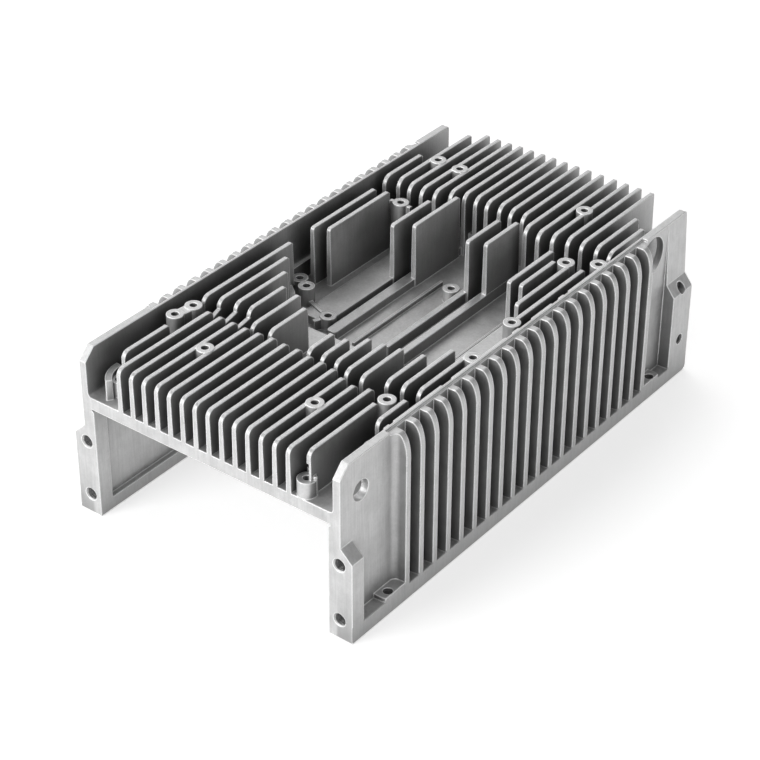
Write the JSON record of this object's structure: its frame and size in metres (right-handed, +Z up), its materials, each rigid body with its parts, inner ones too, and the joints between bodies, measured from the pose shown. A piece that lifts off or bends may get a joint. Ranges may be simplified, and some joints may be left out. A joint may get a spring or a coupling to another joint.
{
  "type": "heat sink housing",
  "caption": "Die-cast aluminium heat sink housing with an H-shaped section: drilled corner legs, cooling fins outside both walls and upright fins, plates and screw bosses on its deck.",
  "frame": {"origin": "centre of the footprint, on the undersides of the two rails that it stands on", "axes": "+X across the casting, +Y along it from the front legs to the rear legs, +Z up from the rails towards the fins"},
  "size_m": [0.1474, 0.2568, 0.0823],
  "materials": {
    "cast_aluminium": "as-cast, lightly blasted, with bright edges"
  },
  "bodies": {
    "root": {"heat_sink_housing": "cast_aluminium"}
  },
  "joints": []
}
